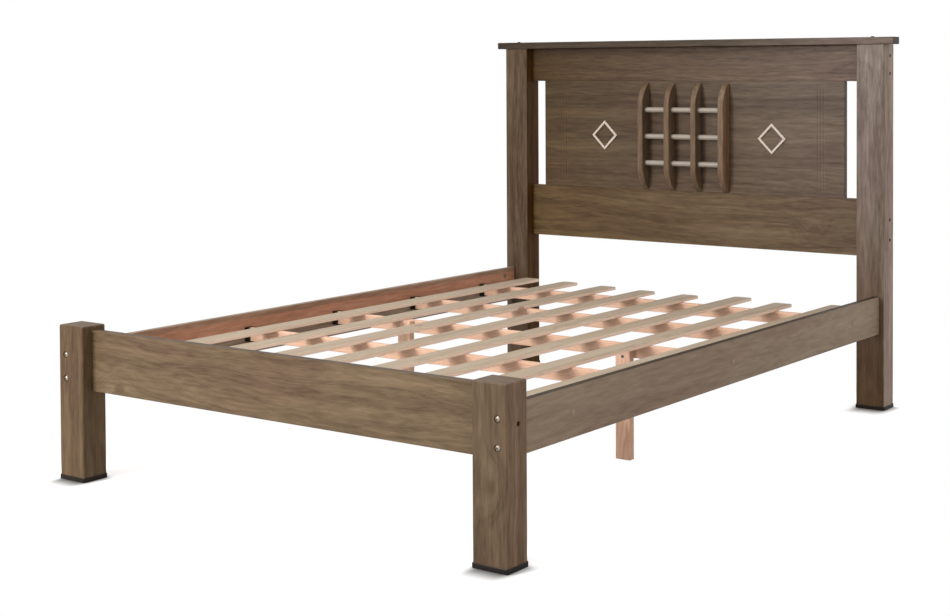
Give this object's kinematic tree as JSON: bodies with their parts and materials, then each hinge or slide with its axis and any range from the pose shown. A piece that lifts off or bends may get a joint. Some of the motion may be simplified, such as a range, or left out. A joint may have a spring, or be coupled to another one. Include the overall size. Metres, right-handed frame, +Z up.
{
  "type": "double bed",
  "caption": "Wooden double bed frame with square posts, a slotted headboard with a bowed lattice, side rails and a lift-out slatted base on cross bars and centre legs.",
  "frame": {"origin": "on the floor under the middle of the bed", "axes": "+X to the right as seen from the foot, +Y from foot to head, +Z up"},
  "size_m": [1.515, 2.074, 1.1688],
  "materials": {
    "stained_wood": "grey-brown stain with a satin lacquer",
    "pale_wood": "pale wood with a satin lacquer",
    "raw_pine": "planed, unfinished",
    "slat_pine": "planed, unfinished, greyed",
    "dowel_wood": "fluted beech",
    "black_shoe_plastic": "gloss moulded",
    "dark_bracket_plastic": "satin moulded",
    "cover_plastic": "moulded, coloured like the stained wood",
    "zinc_steel": "bright zinc",
    "dark_steel": "dark oxide",
    "nail_steel": "bare wire nail"
  },
  "bodies": {
    "bed_frame": {"foot_post_left": "stained_wood", "foot_post_right": "stained_wood", "head_post_left": "stained_wood", "head_post_right": "stained_wood", "foot_rail": "stained_wood", "side_rail_left": "stained_wood", "side_rail_right": "stained_wood", "head_cap_board": "stained_wood", "head_top_rail": "stained_wood", "head_center_panel": "stained_wood", "head_bottom_rail": "stained_wood", "lattice_bar_1": "stained_wood", "lattice_bar_2": "stained_wood", "lattice_bar_3": "stained_wood", "lattice_bar_4": "stained_wood", "lattice_rod_bottom": "pale_wood", "lattice_rod_middle": "pale_wood", "lattice_rod_top": "pale_wood", "diamond_left": "pale_wood", "diamond_right": "pale_wood", "post_shoe_foot_left": "black_shoe_plastic", "post_shoe_foot_right": "black_shoe_plastic", "post_shoe_head_left": "black_shoe_plastic", "post_shoe_head_right": "black_shoe_plastic", "bar_brackets_left": "dark_bracket_plastic", "bar_brackets_right": "dark_bracket_plastic", "rail_bolts_foot": "zinc_steel", "rail_bolts_head": "zinc_steel", "barrel_nuts": "zinc_steel", "cap_screws": "zinc_steel", "head_frame_screws": "dark_steel", "foot_rail_screws": "dark_steel", "bracket_machine_screws": "dark_steel", "bracket_wood_screws": "dark_steel", "rail_screw_covers": "cover_plastic", "panel_dowels": "dowel_wood"},
    "slat_base": {"slat_1": "slat_pine", "slat_2": "slat_pine", "slat_3": "slat_pine", "slat_4": "slat_pine", "slat_5": "slat_pine", "slat_6": "slat_pine", "slat_7": "slat_pine", "slat_8": "slat_pine", "cross_bar_1": "raw_pine", "cross_bar_2": "raw_pine", "cross_bar_3": "raw_pine", "cross_bar_4": "raw_pine", "cross_bar_5": "raw_pine", "center_leg_left": "raw_pine", "center_leg_right": "raw_pine", "slat_nails": "nail_steel", "leg_screws": "dark_steel"}
  },
  "joints": [
    {"name": "slat_base_lift", "type": "slide", "parent": "bed_frame", "child": "slat_base", "axis": [0, 0, 1], "range_m": [0, 0.4]}
  ]
}
